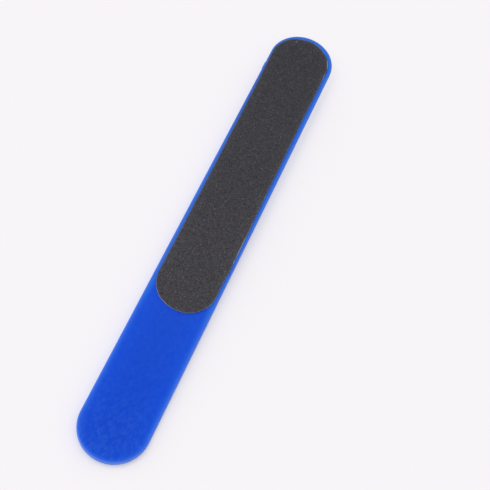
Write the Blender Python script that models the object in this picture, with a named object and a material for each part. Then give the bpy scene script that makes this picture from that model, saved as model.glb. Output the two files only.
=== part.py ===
"""A flat nail file: a moulded plastic blade with an abrasive strip bonded to each face.

Each strip is die cut from abrasive paper, so its adhesive film, its backing paper and its coat
of grit share one outline. The strips end short of the blade's near end, which is the handle.

The frame has +X along the file towards its tip, +Y to the left seen from above and +Z up. The
origin is under the middle of the blade, on the surface that the file lies on, which touches the
back strip's grit.
"""

import math

import bmesh
import bpy

# Moulded blade
BLADE_LENGTH = 0.2000
BLADE_WIDTH = 0.0264
BLADE_THICKNESS = 0.0024
EDGE_RADIUS = 0.0005

# Scar on the blade's left side, near the tip, where it was cut from the mould's runner
GATE_LENGTH = 0.0028
GATE_HEIGHT = 0.0011
GATE_STANDS_OUT = 0.00025
GATE_CORNER = 0.00015
GATE_ROOT = 0.0008
GATE_FROM_TIP_ROUND = 0.0078

# Abrasive strips
HANDLE_LENGTH = 0.0619
STRIP_TIP_MARGIN = 0.0017
STRIP_SIDE_MARGIN = 0.0014
FILM_THICKNESS = 0.00010
PAPER_THICKNESS = 0.00028
FRONT_GRIT_THICKNESS = 0.00020
BACK_GRIT_THICKNESS = 0.00014

# Clearance at each bonded face. The layers are thinner than a usual clearance of 0.3 mm.
BOND_GAP = 0.00002

# How far each strip was laid off the blade's own line, turned to the left seen from outside
FRONT_STRIP_TURN = math.radians(0.38)
BACK_STRIP_TURN = math.radians(0.20)

# Smoothness of the round shapes
END_STEPS = 48
EDGE_STEPS = 4
EDGE_SHARE = 0.45

# Finish of each piece: colour in 8-bit sRGB, and roughness
BLUE_PLASTIC = ((30, 78, 211), 0.42)
CLEAR_ADHESIVE = ((196, 190, 170), 0.35)
GREY_PAPER = ((168, 170, 188), 0.85)
COARSE_GRIT = ((69, 67, 71), 0.80)
FINE_GRIT = ((82, 80, 84), 0.75)


def clear_scene():
    for item in list(bpy.data.objects):
        bpy.data.objects.remove(item)


def linear(channel):
    """An 8-bit sRGB channel as a linear value."""
    value = channel / 255
    return value / 12.92 if value <= 0.04045 else ((value + 0.055) / 1.055) ** 2.4


def give_material(item, finish):
    colour, roughness = finish
    material = bpy.data.materials.new(item.name)
    material.use_nodes = True
    shader = material.node_tree.nodes["Principled BSDF"]
    shader.inputs["Base Color"].default_value = (*map(linear, colour), 1)
    shader.inputs["Roughness"].default_value = roughness
    shader.inputs["Metallic"].default_value = 0
    item.data.materials.append(material)


def round_ended_outline(low_x, high_x, width):
    """Points of a strip of this width whose two ends are half circles, anticlockwise."""
    radius = width / 2
    points = []
    for centre, start in ((high_x - radius, -math.pi / 2), (low_x + radius, math.pi / 2)):
        for step in range(END_STEPS + 1):
            angle = start + math.pi * step / END_STEPS
            points.append((centre + radius * math.cos(angle), radius * math.sin(angle)))
    return points


def make_slab(name, outline, thickness):
    """A flat plate of this outline, from z = 0 up to its thickness."""
    shape = bmesh.new()
    corners = [shape.verts.new((x, y, 0)) for x, y in outline]
    bottom = shape.faces.new(corners)
    top = bmesh.ops.extrude_face_region(shape, geom=[bottom])
    raised = [part for part in top["geom"] if isinstance(part, bmesh.types.BMVert)]
    bmesh.ops.translate(shape, verts=raised, vec=(0, 0, thickness))
    bmesh.ops.recalc_face_normals(shape, faces=shape.faces)
    mesh = bpy.data.meshes.new(name)
    shape.to_mesh(mesh)
    shape.free()
    mesh.shade_smooth()
    mesh.set_sharp_from_angle(angle=math.radians(40))
    item = bpy.data.objects.new(name, mesh)
    bpy.context.scene.collection.objects.link(item)
    return item


def round_edges(item, radius, steps):
    bevel = item.modifiers.new("rounded_edges", "BEVEL")
    bevel.width = radius
    bevel.segments = steps
    bevel.limit_method = "ANGLE"
    bevel.angle_limit = math.radians(40)
    bevel.use_clamp_overlap = True


def make_gate_scar(blade_base):
    """The block that stands out of the blade's left side. Its root is inside the blade."""
    middle = BLADE_LENGTH / 2 - BLADE_WIDTH / 2 - GATE_FROM_TIP_ROUND
    low, high = middle - GATE_LENGTH / 2, middle + GATE_LENGTH / 2
    inner, outer = BLADE_WIDTH / 2 - GATE_ROOT, BLADE_WIDTH / 2 + GATE_STANDS_OUT
    outline = [(low, inner), (high, inner), (high, outer), (low, outer)]
    scar = make_slab("gate_scar", outline, GATE_HEIGHT)
    scar.location.z = blade_base + (BLADE_THICKNESS - GATE_HEIGHT) / 2
    round_edges(scar, GATE_CORNER, 1)
    scar.hide_render = True
    scar.display_type = "WIRE"
    return scar


def make_blade(base):
    outline = round_ended_outline(-BLADE_LENGTH / 2, BLADE_LENGTH / 2, BLADE_WIDTH)
    blade = make_slab("blade", outline, BLADE_THICKNESS)
    blade.location.z = base
    round_edges(blade, min(EDGE_RADIUS, EDGE_SHARE * BLADE_THICKNESS), EDGE_STEPS)
    join = blade.modifiers.new("gate_scar", "BOOLEAN")
    join.operation = "UNION"
    join.solver = "EXACT"
    join.object = make_gate_scar(base)
    give_material(blade, BLUE_PLASTIC)


def strip_layers(grit_thickness, grit_finish):
    """Name, thickness and finish of a strip's layers, from the blade outwards."""
    return (
        ("adhesive_film", FILM_THICKNESS, CLEAR_ADHESIVE),
        ("backing_paper", PAPER_THICKNESS, GREY_PAPER),
        ("grit_coat", grit_thickness, grit_finish),
    )


def strip_height(layers):
    return sum(BOND_GAP + thickness for _, thickness, _ in layers)


def make_strip(side, layers, face_z, tilt, turn):
    """Stacks a strip's layers on the blade's face. Tilt is pi for the face that looks down."""
    holder = bpy.data.objects.new(side + "_strip", None)
    bpy.context.scene.collection.objects.link(holder)
    holder.location.z = face_z
    holder.rotation_euler = (tilt, 0, turn)
    low_x = -BLADE_LENGTH / 2 + HANDLE_LENGTH
    high_x = BLADE_LENGTH / 2 - STRIP_TIP_MARGIN
    outline = round_ended_outline(low_x, high_x, BLADE_WIDTH - 2 * STRIP_SIDE_MARGIN)
    height = 0
    for layer, thickness, finish in layers:
        height += BOND_GAP
        piece = make_slab(side + "_" + layer, outline, thickness)
        piece.parent = holder
        piece.location.z = height
        give_material(piece, finish)
        height += thickness


def main():
    clear_scene()
    front = strip_layers(FRONT_GRIT_THICKNESS, COARSE_GRIT)
    back = strip_layers(BACK_GRIT_THICKNESS, FINE_GRIT)
    blade_base = strip_height(back)
    blade_top = blade_base + BLADE_THICKNESS
    make_blade(blade_base)
    make_strip("front", front, blade_top, 0, FRONT_STRIP_TURN)
    make_strip("back", back, blade_base, math.pi, -BACK_STRIP_TURN)


main()
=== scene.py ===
"""The looks of a flat nail file: a moulded blue blade with an abrasive strip on each face.

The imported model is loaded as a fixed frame, and a finer mesh takes the place of each of its
nodes. Lengths are in metres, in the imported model's frame: +X runs along the file towards its
tip, +Y to the left seen from above and +Z up. The file lies on the plane z = 0.
"""

import math
from collections import namedtuple

import bpy
import numpy as np
from mathutils import Matrix, Vector
from mathutils.geometry import delaunay_2d_cdt


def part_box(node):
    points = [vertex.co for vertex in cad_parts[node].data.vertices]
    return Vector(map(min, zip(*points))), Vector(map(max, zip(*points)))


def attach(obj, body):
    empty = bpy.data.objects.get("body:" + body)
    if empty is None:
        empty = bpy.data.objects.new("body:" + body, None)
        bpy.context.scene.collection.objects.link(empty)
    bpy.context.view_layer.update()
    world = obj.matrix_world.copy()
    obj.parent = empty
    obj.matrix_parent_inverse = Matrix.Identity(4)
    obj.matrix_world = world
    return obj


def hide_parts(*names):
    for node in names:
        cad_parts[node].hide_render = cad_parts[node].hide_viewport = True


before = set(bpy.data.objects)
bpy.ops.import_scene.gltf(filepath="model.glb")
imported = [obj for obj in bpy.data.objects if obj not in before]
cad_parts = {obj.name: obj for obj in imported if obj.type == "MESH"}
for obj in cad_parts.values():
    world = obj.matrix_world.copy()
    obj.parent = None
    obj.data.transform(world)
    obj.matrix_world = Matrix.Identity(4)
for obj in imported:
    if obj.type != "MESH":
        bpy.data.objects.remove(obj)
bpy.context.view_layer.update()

MM = 0.001

# Camera, fitted to the outline of the file in the photograph
CAMERA_PLACE = Vector((-0.20047, -0.04450, 0.38772))
CAMERA_TARGET = Vector((-0.00184, -0.01279, 0.00298))
CAMERA_ROLL = math.radians(16.00)
CAMERA_LENS = 84.17
CAMERA_CLIP = 10 * MM
SENSOR = 36

# Soft light: an even white sky, and a broad lamp high on the file's left side
SKY_LEVEL = 0.80
LAMP_HEADING = math.radians(80)
LAMP_HEIGHT = math.radians(34)
LAMP_SPREAD = math.radians(75)
LAMP_LEVEL = 0.20

# Moulded blade
EDGE_RADIUS = 0.5 * MM
EDGE_STEPS = 8
EDGE_HOLD = 0.08 * MM
WALL_RINGS = 14
CAP_RINGS = (0.16, 0.32, 0.48, 0.64, 0.78, 0.90)
BLADE_SPACING = 0.6 * MM
PARTING_RIDGE = 0.02 * MM

# Scar of the mould's gate, on the wall whose outward direction has a Y above SCAR_SIDE
SCAR_SPACING = 0.1 * MM
SCAR_MARGIN = 0.4 * MM
SCAR_CENTRE = 78.5 * MM
SCAR_LENGTH = 3.6 * MM
SCAR_HEIGHT = 1.1 * MM
SCAR_EDGE = 0.16 * MM
SCAR_ROUGHNESS = 0.05 * MM
SCAR_SIDE = 0.5
SCAR_SEED = 11

# Layers of the abrasive strips. SOFT_END is the share of a stretch's reach that it fades over.
LAYER_GAP = 0.02 * MM
OUTLINE_SPACING = 0.20 * MM
CUT_ROUGHNESS = 0.025 * MM
CUT_FINE = 0.35 * MM
CUT_SLOW = 6.0 * MM
SOFT_END = 0.5
FILM_RINGS = 3
FILM_FUZZ = 0.01 * MM
PAPER_RINGS = 6
PAPER_FUZZ = 0.03 * MM

# Grains of the grit
GRAIN_SPACING = 0.22 * MM
GRAIN_JITTER = 0.30
GRAIN_FLOOR = 0.25
GRAIN_RIM = 0.30
GRAIN_ROOM = 0.55 * GRAIN_SPACING

# How delaunay_2d_cdt fills an outline: inside its loop alone, joining points nearer than FILL_MERGE
FILL_INSIDE = 1
FILL_MERGE = 1e-9

# Layout of a coat's flat map
MAP_MARGIN = 0.5 * MM
MAP_UNDERSIDE = 0.12
MAP_FACES_DOWN = -0.5

Outline = namedtuple("Outline", "radius low high")

# A stretch of a strip's edge: the side that it is on, 1 for the file's left and -1 for its right,
# its middle along the strip, half its length, and how deep the edge is set in there. A middle
# past the strip's straight stretch is measured on round the end.
Stretch = namedtuple("Stretch", "side middle reach depth")

# A strip is turned a little from the blade's line, and tilted over if it is on the back. Its cut
# edge draws in along the waists, or stands out where their depth is below zero, its grit has flaked
# off along the chips, and its paper is set in under the grit along the tucks.
Strip = namedtuple("Strip", "side turn tilt grit_slot grit_lift waists chips tucks seed")

FRONT = Strip(
    side="front",
    turn=math.radians(0.38),
    tilt=0.0,
    grit_slot="coarse_grit",
    grit_lift=0,
    waists=(
        Stretch(1, 28.0 * MM, 60.0 * MM, 0.23 * MM),
        Stretch(1, 96.5 * MM, 9.5 * MM, 0.32 * MM),
        Stretch(-1, 42.0 * MM, 34.0 * MM, 0.08 * MM),
        Stretch(-1, 103.0 * MM, 10.0 * MM, 0.26 * MM),
        Stretch(1, -42.5 * MM, 6.0 * MM, 0.16 * MM),
        Stretch(-1, 81.0 * MM, 17.0 * MM, -0.13 * MM),
        Stretch(-1, -6.0 * MM, 16.0 * MM, -0.12 * MM),
        Stretch(-1, -23.0 * MM, 7.0 * MM, 0.20 * MM),
    ),
    chips=(
        Stretch(1, -34.0 * MM, 8.0 * MM, 0.03 * MM),
        Stretch(-1, -29.5 * MM, 4.0 * MM, 0.05 * MM),
        Stretch(-1, -4.0 * MM, 5.2 * MM, 0.18 * MM),
        Stretch(-1, -10.5 * MM, 0.9 * MM, 0.20 * MM),
        Stretch(-1, 4.5 * MM, 4.0 * MM, 0.06 * MM),
        Stretch(-1, 84.0 * MM, 1.9 * MM, 0.09 * MM),
        Stretch(-1, 90.7 * MM, 2.4 * MM, 0.22 * MM),
        Stretch(-1, 102.0 * MM, 9.0 * MM, 0.10 * MM),
        Stretch(-1, 20.2 * MM, 1.2 * MM, 0.07 * MM),
        Stretch(1, 47.0 * MM, 0.8 * MM, 0.02 * MM),
    ),
    tucks=(
        Stretch(-1, -40.0 * MM, 9.0 * MM, 0.04 * MM),
    ),
    seed=21,
)
BACK = Strip(
    side="back",
    turn=math.radians(-0.20),
    tilt=math.pi,
    grit_slot="fine_grit",
    grit_lift=10,
    waists=(),
    chips=(
        Stretch(1, 12.0 * MM, 1.6 * MM, 0.16 * MM),
        Stretch(-1, 88.0 * MM, 1.2 * MM, 0.20 * MM),
        Stretch(-1, -30.0 * MM, 2.2 * MM, 0.18 * MM),
    ),
    tucks=(),
    seed=31,
)


# Outlines with two half-round ends

def half_length(outline):
    """Length of half the outline, from the middle of its low end to the middle of its high end."""
    return math.pi * outline.radius + outline.high - outline.low


def even_places(outline, spacing):
    """Evenly spaced places along half the outline."""
    length = half_length(outline)
    return np.linspace(0, length, round(length / spacing) + 1)


def outline_frame(outline, places):
    """The spine point and the outward direction at each place round the whole outline.

    The places run along the right half, and come back along the left half.
    """
    quarter = math.pi / 2 * outline.radius
    along = np.clip(places - quarter, 0, outline.high - outline.low)
    turn = (places - along) / outline.radius
    spine = outline.low + along
    out_x = -np.cos(turn)
    out_y = -np.sin(turn)
    back = slice(-2, 0, -1)
    return (
        np.concatenate([spine, spine[back]]),
        np.concatenate([out_x, out_x[back]]),
        np.concatenate([out_y, -out_y[back]]),
    )


def place_of(outline, x, y):
    """How far round the whole outline the place nearest to each point is."""
    spine = np.clip(x, outline.low, outline.high)
    turn = np.arctan2(np.abs(y), spine - x)
    place = turn * outline.radius + spine - outline.low
    return np.where(y <= 0, place, 2 * half_length(outline) - place)


def whole_round(places):
    """The places along half an outline, and then on along its other half."""
    return np.concatenate([places, 2 * places[-1] - places[-2:0:-1]])


def wander(rng, length, spacing, depth):
    """A function that wanders round a closed loop, up to the depth either way.

    It turns once in each spacing.
    """
    knots = rng.uniform(-depth, depth, round(length / spacing))
    spots = np.arange(len(knots)) * length / len(knots)
    return lambda places: np.interp(places, spots, knots, period=length)


# Meshes

def make_piece(name, vertices, faces, smooth):
    mesh = bpy.data.meshes.new(name)
    mesh.from_pydata(vertices, [], faces)
    mesh.validate()
    if smooth:
        mesh.shade_smooth()
    else:
        mesh.shade_flat()
    piece = bpy.data.objects.new(name, mesh)
    bpy.context.scene.collection.objects.link(piece)
    return piece


def join_rings(count, first, second):
    """Faces between two rings of this many points, which start at these indices."""
    faces = []
    for i in range(count):
        after = (i + 1) % count
        faces.append((first + i, first + after, second + after, second + i))
    return faces


def ladder(count, first):
    """Faces across a ring whose right half mirrors its left half."""
    half = count // 2
    rungs = [(first, first + 1, first + count - 1)]
    for i in range(1, half - 1):
        across = first + count - i
        rungs.append((first + i, first + i + 1, across - 1, across))
    rungs.append((first + half - 1, first + half, first + half + 1))
    return rungs


def triangulate(points, border):
    """Triangles over the points, inside the closed loop that the first ones make.

    The border is how many points are in that loop.
    """
    edges = [(i, (i + 1) % border) for i in range(border)]
    flat = [Vector(point) for point in points]
    _, _, triangles, sources, _, _ = delaunay_2d_cdt(flat, edges, [], FILL_INSIDE, FILL_MERGE)
    origin = [source[0] for source in sources]
    return [tuple(origin[i] for i in triangle) for triangle in triangles]


def step_between(value, low, high):
    """0 below low and 1 above high, with a smooth rise between them."""
    share = np.clip((value - low) / (high - low), 0, 1)
    return share * share * (3 - 2 * share)


# Blade

def blade_outline():
    """The outline of the blade without the scar, which stands out on its left alone."""
    low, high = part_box("blade")
    radius = -low.y
    return Outline(radius, low.x + radius, high.x - radius)


def blade_places(outline):
    """Places along half the blade's outline, closer together beside the scar."""
    start = math.pi / 2 * outline.radius - outline.low
    reach = SCAR_LENGTH / 2 + SCAR_MARGIN
    close = np.arange(SCAR_CENTRE - reach, SCAR_CENTRE + reach, SCAR_SPACING) + start
    wide = even_places(outline, BLADE_SPACING)
    wide = wide[(wide < close[0] - SCAR_SPACING) | (wide > close[-1] + SCAR_SPACING)]
    return np.sort(np.concatenate([wide, close]))


def blade_profile(radius, low_z, high_z):
    """Radius and height of the blade's section, from the middle of the top to that of the bottom."""
    wall_radius = radius - PARTING_RIDGE
    inner = wall_radius - EDGE_RADIUS
    top = [(inner * share, high_z) for share in CAP_RINGS]
    # A ring close inside the rounded edge keeps the shading of the flat face flat
    top.append((inner - EDGE_HOLD, high_z))
    for step in range(EDGE_STEPS + 1):
        turn = math.pi / 2 * step / EDGE_STEPS
        drop = EDGE_RADIUS * (1 - math.cos(turn))
        top.append((inner + EDGE_RADIUS * math.sin(turn), high_z - drop))
    bottom = [(r, low_z + high_z - z) for r, z in reversed(top)]
    heights = np.linspace(high_z - EDGE_RADIUS, low_z + EDGE_RADIUS, WALL_RINGS + 1)[1:-1]
    wall = [(wall_radius, z) for z in heights]
    # The middle of the wall stands out as the mould's parting ridge
    wall[len(wall) // 2] = (radius, (low_z + high_z) / 2)
    return top + wall + bottom


def scar_height(rng, x, z, middle_z, proud):
    """How far the gate's scar stands out of the blade's left wall at each point."""
    along = step_between(SCAR_LENGTH / 2 - np.abs(x - SCAR_CENTRE), 0, SCAR_EDGE)
    up = step_between(SCAR_HEIGHT / 2 - np.abs(z - middle_z), 0, SCAR_EDGE)
    rough = rng.random(len(x)) * SCAR_ROUGHNESS
    return along * up * (proud - rough)


def make_blade():
    low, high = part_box("blade")
    outline = blade_outline()
    radius = outline.radius
    proud = high.y - radius + PARTING_RIDGE
    spine, out_x, out_y = outline_frame(outline, blade_places(outline))
    count = len(spine)
    rng = np.random.default_rng(SCAR_SEED)
    rings = []
    for r, z in blade_profile(radius, low.z, high.z):
        x = spine + out_x * r
        y = out_y * r
        if r > radius - EDGE_RADIUS:
            scar = scar_height(rng, x, z, (low.z + high.z) / 2, proud)
            # The scar is measured from the plain wall, so the ridge doesn't add to it
            ridge = max(0, r - radius + PARTING_RIDGE)
            y = y + np.where(out_y > SCAR_SIDE, scar - ridge * (scar > 0), 0)
        rings.append(np.column_stack([x, y, np.full(count, z)]))
    faces = ladder(count, 0)
    for ring in range(len(rings) - 1):
        faces += join_rings(count, (ring + 1) * count, ring * count)
    last = (len(rings) - 1) * count
    faces += [face[::-1] for face in ladder(count, last)]
    blade = make_piece("moulded_blade", np.concatenate(rings).tolist(), faces, smooth=True)
    blade.data.materials.append(blue_plastic(outline))
    finish_piece(blade, "blade")


# Strips

def strip_outline(node, turn):
    """The outline of a strip's layer in the strip's own frame, worked out from the node's box."""
    low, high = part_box(node)
    reach = high.y if turn > 0 else -low.y
    slope = math.tan(abs(turn))
    radius = (reach - high.x * slope) / (1 - slope)
    return Outline(radius, (low.x + radius) / math.cos(turn), (high.x - radius) / math.cos(turn))


def layer_tops(strip):
    """Where a strip starts, and how high above that its film, paper and grit end, seen face up."""
    film_low, film_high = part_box(strip.side + "_adhesive_film")
    paper_low, paper_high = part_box(strip.side + "_backing_paper")
    grit_low, grit_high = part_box(strip.side + "_grit_coat")
    if strip.tilt:
        base = film_high.z + LAYER_GAP
        return base, [base - low.z for low in (film_low, paper_low, grit_low)]
    base = film_low.z - LAYER_GAP
    return base, [high.z - base for high in (film_high, paper_high, grit_high)]


def nearness(outline, places, stretch):
    """1 at the middle of a stretch of the edge, falling evenly to 0 at its ends and past them."""
    length = 2 * half_length(outline)
    middle = math.pi / 2 * outline.radius - outline.low + stretch.middle
    if stretch.side > 0:
        middle = length - middle
    away = np.abs(places - middle) % length
    away = np.minimum(away, length - away)
    return np.clip(1 - away / stretch.reach, 0, 1)


def drawn_in(outline, places, stretches):
    """How far the edge is drawn in along the stretches, with a soft start and end to each."""
    depth = np.zeros(len(places))
    for stretch in stretches:
        near = nearness(outline, places, stretch)
        depth += stretch.depth * step_between(near, 0, SOFT_END)
    return depth


def chip_depth(outline, places, chips):
    """How deep the flaked spots of the grit's edge are at each place along it.

    A chip starts and ends steeply.
    """
    depth = np.zeros(len(places))
    for chip in chips:
        near = nearness(outline, places, chip)
        depth = np.maximum(depth, chip.depth * np.sqrt(np.minimum(1, near / SOFT_END)))
    return depth


def make_edge(rng, outline, waists):
    """How far a cut edge lies inside its outline, as a function of the place along it."""
    length = 2 * half_length(outline)
    fine = wander(rng, length, CUT_FINE, CUT_ROUGHNESS)
    slow = wander(rng, length, CUT_SLOW, CUT_ROUGHNESS)
    return lambda places: fine(places) + slow(places) + drawn_in(outline, places, waists)


def ring_points(outline, places, inset, height):
    """Points round the outline, each set in by its inset, at one height."""
    spine, out_x, out_y = outline_frame(outline, places)
    r = outline.radius - inset
    return np.column_stack([spine + out_x * r, out_y * r, np.full(len(spine), height)])


def make_sheet(name, outline, heights, edge, fuzz, rng):
    """A cut sheet whose edge is rough by the fuzz from height to height."""
    places = even_places(outline, OUTLINE_SPACING)
    inset = edge(whole_round(places))
    rings = []
    for height in heights:
        rough = rng.random(len(inset)) * fuzz
        rings.append(ring_points(outline, places, inset + rough, height))
    count = len(inset)
    faces = []
    for ring in range(len(rings) - 1):
        faces += join_rings(count, ring * count, (ring + 1) * count)
    top = (len(rings) - 1) * count
    faces += [tuple(top + i for i in face) for face in triangulate(rings[-1][:, :2], count)]
    faces += [face[::-1] for face in triangulate(rings[0][:, :2], count)]
    return make_piece(name, np.concatenate(rings).tolist(), faces, smooth=False)


def lattice(rng, outline, spacing):
    """Points in a jittered triangular lattice over the strip."""
    row_step = spacing * math.sqrt(3) / 2
    rows = np.arange(-outline.radius, outline.radius, row_step)
    columns = np.arange(outline.low - outline.radius, outline.high + outline.radius, spacing)
    x, y = np.meshgrid(columns, rows)
    x = x + (np.arange(len(rows)) % 2)[:, None] * spacing / 2
    points = np.column_stack([x.ravel(), y.ravel()])
    return points + rng.uniform(-GRAIN_JITTER, GRAIN_JITTER, points.shape) * spacing


def make_grit(name, outline, thickness, edge, chips, rng):
    """A closed coat of grains, with a flat underside at z = 0.

    Its highest grains reach the thickness, and those on its border are lower.
    """
    places = even_places(outline, OUTLINE_SPACING)

    def inset(spots):
        return edge(spots) + chip_depth(outline, spots, chips)

    border = ring_points(outline, places, inset(whole_round(places)), 0)[:, :2]
    inner = lattice(rng, outline, GRAIN_SPACING)
    x, y = inner.T
    from_spine = np.hypot(x - np.clip(x, outline.low, outline.high), y)
    room = outline.radius - inset(place_of(outline, x, y)) - from_spine
    inside = room > GRAIN_ROOM
    points = np.concatenate([border, inner[inside]])
    count = len(border)
    heights = GRAIN_FLOOR + (1 - GRAIN_FLOOR) * rng.random(len(points))
    heights[:count] *= GRAIN_RIM + (1 - GRAIN_RIM) * rng.random(count)
    top = np.column_stack([points, heights * thickness])
    foot = np.column_stack([border, np.zeros(count)])
    first = len(points)
    faces = triangulate(points, count) + join_rings(count, first, 0)
    faces += [tuple(first + i for i in reversed(face)) for face in triangulate(border, count)]
    coat = make_piece(name, np.concatenate([top, foot]).tolist(), faces, smooth=False)
    mark_room(coat, np.concatenate([np.zeros(count), room[inside], np.zeros(count)]))
    return coat


def mark_room(coat, room):
    """Keeps how far inside the cut edge each point lies, which the coat's material reads."""
    from_edge = coat.data.attributes.new("from_edge", "FLOAT", "POINT")
    from_edge.data.foreach_set("value", room)


def read_all(items, name, width=1):
    """One property of all of a mesh's vertices, corners or faces, as an array with a row for each."""
    values = np.empty(len(items) * width)
    items.foreach_get(name, values)
    return values.reshape(-1, width) if width > 1 else values


def map_coat(coat, outline):
    """Lays a coat out flat in a map, with its top in two bands.

    The underside, which is hidden, is drawn in a narrower third band.
    """
    mesh = coat.data
    start = outline.low - outline.radius
    length = outline.high + outline.radius - start
    corners = read_all(mesh.polygons, "loop_total").astype(int)
    vertices = read_all(mesh.loops, "vertex_index").astype(int)
    x, y, _ = read_all(mesh.vertices, "co", 3)[vertices].T
    second = np.repeat(read_all(mesh.polygons, "center", 3)[:, 0] > start + length / 2, corners)
    under = np.repeat(read_all(mesh.polygons, "normal", 3)[:, 2] < MAP_FACES_DOWN, corners)
    along = x - start + MAP_MARGIN
    across = (y + outline.radius + MAP_MARGIN) / (2 * (outline.radius + MAP_MARGIN))
    top_u = (along - second * length / 2) / (length / 2 + 2 * MAP_MARGIN)
    top_v = (across + second) / 2 * (1 - MAP_UNDERSIDE)
    under_u = along / (length + 2 * MAP_MARGIN)
    under_v = 1 - MAP_UNDERSIDE * across
    places = np.column_stack([np.where(under, under_u, top_u), np.where(under, under_v, top_v)])
    mesh.uv_layers.new(name="OFBake").uv.foreach_set("vector", places.ravel())


def make_strip(strip):
    """The three layers of one strip, modelled face up in the strip's frame and then laid in place."""
    base, (film, paper, grit) = layer_tops(strip)
    rng = np.random.default_rng(strip.seed)
    outline = strip_outline(strip.side + "_grit_coat", strip.turn)
    edge = make_edge(rng, outline, strip.waists)

    def tucked(places):
        return edge(places) + drawn_in(outline, places, strip.tucks)

    film_heights = np.linspace(0, film, FILM_RINGS)
    film_sheet = make_sheet(strip.side + "_glue", outline, film_heights, tucked, FILM_FUZZ, rng)
    paper_heights = np.linspace(film, paper, PAPER_RINGS)
    paper_sheet = make_sheet(strip.side + "_paper", outline, paper_heights, tucked, PAPER_FUZZ, rng)
    coat = make_grit(strip.side + "_grit", outline, grit - paper, edge, strip.chips, rng)
    map_coat(coat, outline)
    coat.data.transform(Matrix.Translation((0, 0, paper)))
    turned = Matrix.Rotation(strip.turn, 4, "Z") @ Matrix.Rotation(strip.tilt, 4, "X")
    place = Matrix.Translation((0, 0, base)) @ turned
    layers = (
        (film_sheet, "_adhesive_film", "clear_adhesive", adhesive()),
        (paper_sheet, "_backing_paper", "grey_paper", grey_paper()),
        (coat, "_grit_coat", strip.grit_slot, charcoal_grit(strip)),
    )
    for piece, node, slot, material in layers:
        piece.data.transform(place)
        piece.data.materials.append(material)
        finish_piece(piece, strip.side + node)


def finish_piece(piece, node):
    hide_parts(node)
    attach(piece, "root")


# Colours and changing values

# How one value follows another: where the other starts and ends, and this one's value there
Change = namedtuple("Change", "start end first last")

# Patches of noise: their size, how many finer sizes are mixed in, and how their strength follows
# the noise, which runs from 0 to 1
Patches = namedtuple("Patches", "size detail strength")


def linear(channel):
    """An 8-bit sRGB channel as a linear value."""
    value = channel / 255
    return value / 12.92 if value <= 0.04045 else ((value + 0.055) / 1.055) ** 2.4


def colour(red, green, blue):
    return (linear(red), linear(green), linear(blue), 1.0)


# Shader nodes

def new_material(name):
    material = bpy.data.materials.new(name)
    material.use_nodes = True
    return material, material.node_tree, material.node_tree.nodes["Principled BSDF"]


def add_node(tree, kind, values=None, **settings):
    """A new node. A value that is another node's socket is linked, and any other value is set."""
    item = tree.nodes.new(kind)
    for name, value in settings.items():
        setattr(item, name, value)
    for name, value in (values or {}).items():
        if isinstance(value, bpy.types.NodeSocket):
            tree.links.new(value, item.inputs[name])
        else:
            item.inputs[name].default_value = value
    return item


def calculate(tree, operation, *values):
    return add_node(tree, "ShaderNodeMath", dict(enumerate(values)), operation=operation).outputs[0]


def product(tree, first, *others):
    """All of the values multiplied together."""
    for other in others:
        first = calculate(tree, "MULTIPLY", first, other)
    return first


def total(tree, first, *others):
    """All of the values added up."""
    for other in others:
        first = calculate(tree, "ADD", first, other)
    return first


def object_place(tree):
    return add_node(tree, "ShaderNodeTexCoord").outputs["Object"]


def along_and_across(tree, place):
    """How far along the file and to its left a place is."""
    parts = add_node(tree, "ShaderNodeSeparateXYZ", {0: place}).outputs
    return parts["X"], parts["Y"]


def fade(tree, value, change):
    """What follows the value by the change, held where the value is past either end."""
    values = {
        "Value": value,
        "From Min": change.start,
        "From Max": change.end,
        "To Min": change.first,
        "To Max": change.last,
    }
    return add_node(tree, "ShaderNodeMapRange", values, clamp=True).outputs["Result"]


def grain_noise(tree, place, size, detail=2.0):
    """Noise between 0 and 1 with patches of about this size."""
    values = {"Vector": place, "Scale": 1 / size, "Detail": detail}
    return add_node(tree, "ShaderNodeTexNoise", values).outputs["Fac"]


def patchy(tree, place, patches):
    """How strong the patches are at a place."""
    return fade(tree, grain_noise(tree, place, patches.size, patches.detail), patches.strength)


def mix(tree, share, first, second, blend="MIX"):
    """Colour sockets sit after the mix node's numbers and vectors, so they go by their index."""
    values = {0: share, 6: first, 7: second}
    return add_node(tree, "ShaderNodeMix", values, data_type="RGBA", blend_type=blend).outputs[2]


def ramp(tree, value, stops, colours):
    """A colour that runs through the colours, each of which has its stop between 0 and 1."""
    item = add_node(tree, "ShaderNodeValToRGB", {"Fac": value})
    band = item.color_ramp
    for stop in stops[1:-1]:
        band.elements.new(stop)
    for element, stop, shade in zip(band.elements, stops, colours):
        element.position = stop
        element.color = shade
    return item.outputs["Color"]


def bump(tree, height, depth):
    values = {"Height": height, "Distance": depth, "Strength": 1.0}
    return add_node(tree, "ShaderNodeBump", values).outputs["Normal"]


def rim_distance(tree, place, outline):
    """How far inside the outline a place lies, seen from above."""
    along, across = along_and_across(tree, place)
    past_end = calculate(tree, "SUBTRACT", calculate(tree, "ABSOLUTE", along), outline.high)
    beyond = calculate(tree, "MAXIMUM", past_end, 0.0)
    flat = add_node(tree, "ShaderNodeCombineXYZ", {"X": beyond, "Y": across}).outputs[0]
    from_spine = add_node(tree, "ShaderNodeVectorMath", {0: flat}, operation="LENGTH").outputs["Value"]
    return calculate(tree, "SUBTRACT", outline.radius, from_spine)
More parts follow.
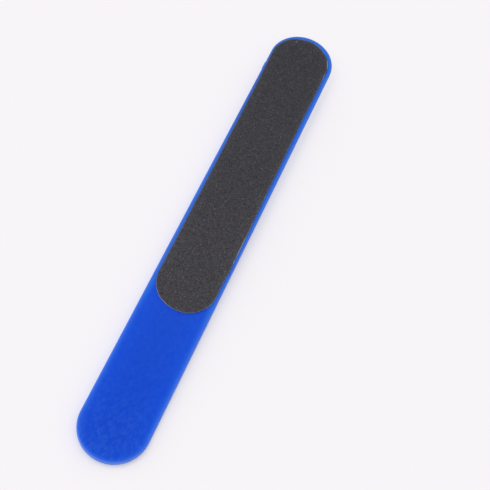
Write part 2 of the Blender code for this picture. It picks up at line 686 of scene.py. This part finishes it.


# Blue plastic

# Colours from the outline inwards, on the handle and on the margin beside the strip. They are painted
# light: getting paler towards the outline, they stand in for light that glows in through the edge.
RIM_REACH = 9.5 * MM
RIM_STOPS = (0.0, 0.03, 0.055, 0.1, 0.17, 0.28, 1.0)
HANDLE_COLOURS = (
    colour(88, 130, 232),
    colour(72, 118, 229),
    colour(58, 109, 226),
    colour(38, 96, 220),
    colour(16, 83, 216),
    colour(1, 72, 210),
    colour(0, 67, 201),
)
MARGIN_COLOURS = (
    colour(84, 132, 232),
    colour(68, 120, 229),
    colour(55, 114, 226),
    colour(41, 108, 220),
    colour(35, 104, 216),
    colour(4, 75, 210),
    colour(0, 67, 201),
)
NARROW_RIM = Change(-97 * MM, -86 * MM, 1.4, 1.0)
MARGIN_START = Change(-42 * MM, -28 * MM, 0.0, 1.0)

# Dust that dulls the plastic, and a darker blue on the upper left margin
PALE_DUST = colour(93, 113, 106)
PALE_DUST_START = Change(-34 * MM, -20 * MM, 0.0, 1.0)
PALE_DUST_ACROSS = Change(-9 * MM, 9 * MM, 0.0, 0.16)
# A darker, duller blue on the upper left margin towards the tip
UPPER_LEFT_DARKER_BLUE = colour(40, 60, 110)
UPPER_LEFT_DARKER_START = Change(36 * MM, 50 * MM, 0.0, 1.0)
UPPER_LEFT_DARKER_END = Change(72 * MM, 86 * MM, 1.0, 0.5)
UPPER_LEFT_DARKER_ACROSS = Change(6 * MM, 11 * MM, 0.0, 0.24)
TIP_DUST = colour(66, 122, 116)
TIP_DUST_ALONG = Change(78 * MM, 95 * MM, 0.0, 0.14)

# Tints and wear, and a painted highlight
BRIGHT_BLUE = colour(60, 110, 230)
BRIGHT_ALONG = Change(-75 * MM, -40 * MM, 0.0, 0.06)
# Painted highlight: a pale line on the rounded edge round the handle's free end
HIGHLIGHT_BLUE = colour(116, 150, 238)
HIGHLIGHT_OUTSIDE = Change(0.0, 0.04, 0.5, 1.0)
HIGHLIGHT_INSIDE = Change(0.04, 0.065, 1.0, 0.0)
HIGHLIGHT_ALONG = Change(-97 * MM, -88 * MM, 0.45, 0.0)
CLOUD_BLUE = colour(8, 86, 220)
CLOUDS = Patches(1.2 * MM, 3.0, Change(0.38, 0.72, 0.0, 0.20))
DULL_BLUE = colour(2, 58, 182)
DULL_SPOTS = Patches(0.6 * MM, 3.0, Change(0.44, 0.68, 0.0, 0.52))
DULL_INSIDE = Change(0.08, 0.25, 0.0, 1.0)
SCUFF_BLUE = colour(68, 116, 220)
SCUFFS = Patches(1.8 * MM, 4.0, Change(0.40, 0.75, 0.0, 0.26))
SCUFF_TURN = (0, 0, math.radians(35))
SCUFF_SQUEEZE = (1.0, 1.3, 1.0)
HANDLED_ALONG = Change(-94 * MM, -70 * MM, 1.0, 0.35)
TORN_BLUE = colour(104, 146, 238)
TORN_START = 0.02 * MM
TORN_FULL = 0.10 * MM
TORN_FIBRES = Patches(0.15 * MM, 2.0, Change(0.35, 0.65, 0.1, 0.7))
PLASTIC_ROUGHNESS = Patches(0.8 * MM, 2.0, Change(0.3, 0.7, 0.38, 0.50))
PLASTIC_GRAIN = 0.25 * MM
PLASTIC_DEPTH = 0.004 * MM
PLASTIC_SPECULAR = 0.12


def blue_plastic(outline):
    material, tree, shader = new_material("blue_plastic")
    place = object_place(tree)
    along, across = along_and_across(tree, place)
    inside = fade(tree, rim_distance(tree, place, outline), Change(0.0, RIM_REACH, 0.0, 1.0))
    rim = product(tree, inside, fade(tree, along, NARROW_RIM))
    # Painted light: the rim colours, paler towards the outline, stand in for light glowing in through
    # the edge
    handle = ramp(tree, rim, RIM_STOPS, HANDLE_COLOURS)
    margin = ramp(tree, rim, RIM_STOPS, MARGIN_COLOURS)
    base = mix(tree, fade(tree, along, MARGIN_START), handle, margin)
    base = dust_and_darker_margin(tree, base, along, across)
    base = mix(tree, fade(tree, along, BRIGHT_ALONG), base, BRIGHT_BLUE)
    # Painted highlight on the rounded edge round the handle's free end
    base = mix(tree, painted_edge_highlight(tree, along, rim), base, HIGHLIGHT_BLUE)
    base = mix(tree, patchy(tree, place, CLOUDS), base, CLOUD_BLUE)
    base = handled(tree, base, place, along, rim)
    base = mix(tree, torn_plastic(tree, place, across, outline), base, TORN_BLUE)
    tree.links.new(base, shader.inputs["Base Color"])
    tree.links.new(patchy(tree, place, PLASTIC_ROUGHNESS), shader.inputs["Roughness"])
    skin = bump(tree, grain_noise(tree, place, PLASTIC_GRAIN), PLASTIC_DEPTH)
    tree.links.new(skin, shader.inputs["Normal"])
    shader.inputs["Specular IOR Level"].default_value = PLASTIC_SPECULAR
    return material


def dust_and_darker_margin(tree, base, along, across):
    """Pale dust beside the strip, a darker, duller blue on the upper left margin, and dull dust round
    the tip.
    """
    beside = fade(tree, along, PALE_DUST_START)
    pale = product(tree, beside, fade(tree, across, PALE_DUST_ACROSS))
    base = mix(tree, pale, base, PALE_DUST)
    upper = product(tree, fade(tree, along, UPPER_LEFT_DARKER_START), fade(tree, along, UPPER_LEFT_DARKER_END))
    dark = product(tree, upper, fade(tree, across, UPPER_LEFT_DARKER_ACROSS))
    base = mix(tree, dark, base, UPPER_LEFT_DARKER_BLUE)
    return mix(tree, fade(tree, along, TIP_DUST_ALONG), base, TIP_DUST)


def painted_edge_highlight(tree, along, rim):
    """How strong the painted highlight is, which is a pale line on the rounded edge round the handle's
    free end.
    """
    line = product(tree, fade(tree, rim, HIGHLIGHT_OUTSIDE), fade(tree, rim, HIGHLIGHT_INSIDE))
    return product(tree, line, fade(tree, along, HIGHLIGHT_ALONG))


def handled(tree, base, place, along, rim):
    """Dull spots and faint scuffs on the handle, most of them at its free end."""
    share = fade(tree, along, HANDLED_ALONG)
    dull = product(tree, patchy(tree, place, DULL_SPOTS), fade(tree, rim, DULL_INSIDE))
    base = mix(tree, product(tree, share, dull), base, DULL_BLUE)
    values = {"Vector": place, "Rotation": SCUFF_TURN, "Scale": SCUFF_SQUEEZE}
    slanted = add_node(tree, "ShaderNodeMapping", values).outputs[0]
    return mix(tree, product(tree, share, patchy(tree, slanted, SCUFFS)), base, SCUFF_BLUE)


def torn_plastic(tree, place, across, outline):
    """How pale the gate's scar is, which is all of the blade that stands out of its straight walls."""
    edge = Change(outline.radius + TORN_START, outline.radius + TORN_FULL, 0.0, 1.0)
    return product(tree, fade(tree, across, edge), patchy(tree, place, TORN_FIBRES))


# Paper and adhesive

PAPER_DARK = colour(142, 144, 164)
PAPER_PALE = colour(188, 190, 204)
PAPER_FIBRES = Patches(0.12 * MM, 3.0, Change(0.3, 0.7, 0.0, 1.0))
PAPER_DEPTH = 0.01 * MM
PAPER_ROUGHNESS = 0.85
PAPER_SPECULAR = 0.3
GLUE_DARK = colour(178, 172, 156)
GLUE_PALE = colour(206, 200, 184)
GLUE_CLOUDS = Patches(0.6 * MM, 2.0, Change(0.3, 0.7, 0.0, 1.0))
GLUE_ROUGHNESS = Change(0.0, 1.0, 0.28, 0.45)


def grey_paper():
    material, tree, shader = new_material("grey_paper")
    fibre = patchy(tree, object_place(tree), PAPER_FIBRES)
    tree.links.new(mix(tree, fibre, PAPER_DARK, PAPER_PALE), shader.inputs["Base Color"])
    tree.links.new(bump(tree, fibre, PAPER_DEPTH), shader.inputs["Normal"])
    shader.inputs["Roughness"].default_value = PAPER_ROUGHNESS
    shader.inputs["Specular IOR Level"].default_value = PAPER_SPECULAR
    return material


def adhesive():
    material, tree, shader = new_material("clear_adhesive")
    cloud = patchy(tree, object_place(tree), GLUE_CLOUDS)
    tree.links.new(mix(tree, cloud, GLUE_DARK, GLUE_PALE), shader.inputs["Base Color"])
    tree.links.new(fade(tree, cloud, GLUE_ROUGHNESS), shader.inputs["Roughness"])
    return material


# Grit

# Greys of the grains as 8-bit channels, which a strip's lift makes paler, and how common each is
GRAIN_SIZE = 0.26 * MM
GRAIN_STOPS = (0.0, 0.5, 0.94, 0.992, 1.0)
GRAIN_GREYS = ((38, 36, 40), (60, 58, 62), (80, 78, 83), (92, 91, 96), (116, 115, 120))
GRAIN_ROUGHNESS = Change(0.0, 1.0, 0.5, 0.9)
GRAIN_SPECULAR = 0.3
SHADE_GREY = (40, 38, 42)
SHADE_PATCHES = Patches(1.6 * MM, 3.0, Change(0.35, 0.65, 0.0, 0.16))
TIP_SHADE = colour(211, 217, 225)
TIP_SHADE_ALONG = Change(-38 * MM, 98 * MM, 0.0, 1.0)
WARM_TINT = colour(255, 251, 249)
COOL_TINT = colour(249, 254, 255)
TINT_PATCHES = Patches(2.6 * MM, 2.0, Change(0.35, 0.65, 0.0, 1.0))

# Rubbed grit, close to the cut edge and at one small spot near the tip of the front strip
RUBBED_GREY = colour(128, 127, 131)
RUBBED_CLOSE = Change(0.10 * MM, 0.60 * MM, 0.11, 0.0)
RUBBED_WIDE = Change(0.0, 4.0 * MM, 0.045, 0.0)
RUBBED_ALONG = Change(-34 * MM, -22 * MM, 0.2, 1.0)
RUBBED_SPOT = Vector((95.1, 5.4, 3.5)) * MM
RUBBED_SPOT_EDGE = Change(0.20 * MM, 0.70 * MM, 0.42, 0.0)


def charcoal_grit(strip):
    material, tree, shader = new_material(strip.side + "_charcoal_grit")
    place = object_place(tree)
    along, _ = along_and_across(tree, place)
    cells = add_node(tree, "ShaderNodeTexVoronoi", {"Vector": place, "Scale": 1 / GRAIN_SIZE})
    grain = add_node(tree, "ShaderNodeSeparateColor", {0: cells.outputs["Color"]}).outputs
    greys = [lifted(grey, strip.grit_lift) for grey in GRAIN_GREYS]
    base = ramp(tree, grain["Red"], GRAIN_STOPS, greys)
    base = mix(tree, fade(tree, along, TIP_SHADE_ALONG), base, TIP_SHADE, "MULTIPLY")
    shade = lifted(SHADE_GREY, strip.grit_lift)
    base = mix(tree, patchy(tree, place, SHADE_PATCHES), base, shade)
    rubbed = calculate(tree, "MAXIMUM", rubbed_edge(tree, along), rubbed_spot(tree, place))
    base = mix(tree, rubbed, base, RUBBED_GREY)
    tint = mix(tree, patchy(tree, place, TINT_PATCHES), WARM_TINT, COOL_TINT)
    base = mix(tree, 1.0, base, tint, "MULTIPLY")
    tree.links.new(base, shader.inputs["Base Color"])
    tree.links.new(fade(tree, grain["Green"], GRAIN_ROUGHNESS), shader.inputs["Roughness"])
    shader.inputs["Specular IOR Level"].default_value = GRAIN_SPECULAR
    return material


def lifted(grey, lift):
    """A colour from 8-bit channels, each made paler by the lift."""
    return colour(*(channel + lift for channel in grey))


def rubbed_edge(tree, along):
    """How pale the grit is rubbed close to its cut edge, which is less round its low end."""
    item = add_node(tree, "ShaderNodeAttribute", attribute_type="GEOMETRY", attribute_name="from_edge")
    from_edge = item.outputs["Fac"]
    share = total(tree, fade(tree, from_edge, RUBBED_CLOSE), fade(tree, from_edge, RUBBED_WIDE))
    return product(tree, share, fade(tree, along, RUBBED_ALONG))


def rubbed_spot(tree, place):
    """How pale the grit is rubbed at the small spot."""
    values = {0: place, 1: RUBBED_SPOT}
    away = add_node(tree, "ShaderNodeVectorMath", values, operation="DISTANCE").outputs["Value"]
    return fade(tree, away, RUBBED_SPOT_EDGE)


# Surroundings

FLOOR_COLOUR = colour(248, 245, 248)
FLOOR_HALF_WIDTH = 3.0
FLOOR_DROP = 0.01 * MM

# Share of the floor that glows in place of its shadow: everywhere, and how much more of it glows
# right of the handle, round the tip and close to the wall. What is called OUT follows the distance
# inside the blade's outline, which is below zero outside it.
FLOOR_GLOW = 0.26
HANDLE_GLOW_ACROSS = Change(-5 * MM, 5 * MM, 1.0, 0.0)
HANDLE_GLOW_ALONG = Change(-105 * MM, 5 * MM, 0.47, 0.0)
HANDLE_GLOW_OUT = Change(-1.6 * MM, 0.0, 1.0, 0.0)
TIP_GLOW_ALONG = Change(70 * MM, 95 * MM, 0.0, 0.49)
WALL_GLOW_OUT = Change(-2.0 * MM, 0.0, 0.0, 1.0)
WALL_GLOW_ALONG = Change(0.0, 50 * MM, 0.20, 0.36)
WALL_GLOW_START = Change(-92 * MM, -84 * MM, 0.0, 1.0)
WALL_GLOW_END = Change(70 * MM, 95 * MM, 1.0, 0.3)
FOOT_GLOW_OUT = Change(-0.45 * MM, 0.0, 1.0, 0.0)
FOOT_GLOW_ALONG = Change(10 * MM, 60 * MM, 0.0, 1.0)


def show_white(tree, share_input, plain, seen):
    """Mixes in the shader that the camera, reflections and glass see."""
    rays = add_node(tree, "ShaderNodeLightPath").outputs
    share = calculate(tree, "MAXIMUM", rays["Is Camera Ray"], rays["Is Glossy Ray"])
    share = calculate(tree, "MAXIMUM", share, rays["Is Transmission Ray"])
    share = product(tree, share, share_input)
    return add_node(tree, "ShaderNodeMixShader", {0: share, 1: plain, 2: seen}).outputs[0]


def floor_glow(tree):
    """How much of the floor glows in place of its shadow."""
    place = object_place(tree)
    along, across = along_and_across(tree, place)
    inside = rim_distance(tree, place, blade_outline())
    handle = product(
        tree,
        fade(tree, across, HANDLE_GLOW_ACROSS),
        fade(tree, along, HANDLE_GLOW_ALONG),
        fade(tree, inside, HANDLE_GLOW_OUT),
    )
    tip = fade(tree, along, TIP_GLOW_ALONG)
    return total(tree, FLOOR_GLOW, handle, tip, wall_glow(tree, along, inside))


def wall_glow(tree, along, inside):
    """How much more of the floor glows close to the wall.

    None does at the foot of the wall's lower half, or round the handle's end.
    """
    foot = fade(tree, inside, FOOT_GLOW_OUT)
    foot = calculate(tree, "MAXIMUM", foot, fade(tree, along, FOOT_GLOW_ALONG))
    return product(
        tree,
        foot,
        fade(tree, inside, WALL_GLOW_OUT),
        fade(tree, along, WALL_GLOW_ALONG),
        fade(tree, along, WALL_GLOW_START),
        fade(tree, along, WALL_GLOW_END),
    )


def make_floor():
    reach = FLOOR_HALF_WIDTH
    corners = [(-reach, -reach), (reach, -reach), (reach, reach), (-reach, reach)]
    vertices = [(x, y, -FLOOR_DROP) for x, y in corners]
    floor = make_piece("floor", vertices, [(0, 1, 2, 3)], smooth=False)
    material, tree, shader = new_material("white_floor")
    tree.nodes.remove(shader)
    plain = add_node(tree, "ShaderNodeBsdfDiffuse", {"Color": FLOOR_COLOUR}).outputs[0]
    glow = add_node(tree, "ShaderNodeEmission", {"Color": FLOOR_COLOUR, "Strength": 1.0}).outputs[0]
    output = tree.nodes["Material Output"]
    tree.links.new(show_white(tree, floor_glow(tree), plain, glow), output.inputs["Surface"])
    floor.data.materials.append(material)


def make_sky():
    world = bpy.data.worlds.new("white_sky")
    world.use_nodes = True
    tree = world.node_tree
    plain = tree.nodes["Background"]
    plain.inputs["Color"].default_value = (1, 1, 1, 1)
    plain.inputs["Strength"].default_value = SKY_LEVEL
    values = {"Color": FLOOR_COLOUR, "Strength": 1.0}
    seen = add_node(tree, "ShaderNodeBackground", values).outputs[0]
    output = tree.nodes["World Output"]
    tree.links.new(show_white(tree, 1.0, plain.outputs[0], seen), output.inputs["Surface"])
    bpy.context.scene.world = world


def make_lamp():
    lamp = bpy.data.lights.new("soft_lamp", "SUN")
    lamp.angle = LAMP_SPREAD
    lamp.energy = LAMP_LEVEL * math.pi / math.sin(LAMP_HEIGHT)
    holder = bpy.data.objects.new("soft_lamp", lamp)
    flat = math.cos(LAMP_HEIGHT)
    x = math.cos(LAMP_HEADING) * flat
    y = math.sin(LAMP_HEADING) * flat
    towards = Vector((x, y, math.sin(LAMP_HEIGHT)))
    holder.rotation_mode = "QUATERNION"
    holder.rotation_quaternion = towards.to_track_quat("Z", "Y")
    bpy.context.scene.collection.objects.link(holder)


def make_camera():
    camera = bpy.data.cameras.new("camera")
    camera.lens = CAMERA_LENS
    camera.sensor_width = SENSOR
    camera.clip_start = CAMERA_CLIP
    holder = bpy.data.objects.new("camera", camera)
    holder.location = CAMERA_PLACE
    aim = (CAMERA_TARGET - CAMERA_PLACE).to_track_quat("-Z", "Y").to_matrix()
    holder.rotation_euler = (aim @ Matrix.Rotation(CAMERA_ROLL, 3, "Z")).to_euler()
    bpy.context.scene.collection.objects.link(holder)
    bpy.context.scene.camera = holder


bpy.context.scene.view_settings.view_transform = "Standard"
make_camera()
make_sky()
make_lamp()
make_floor()
make_blade()
make_strip(FRONT)
make_strip(BACK)
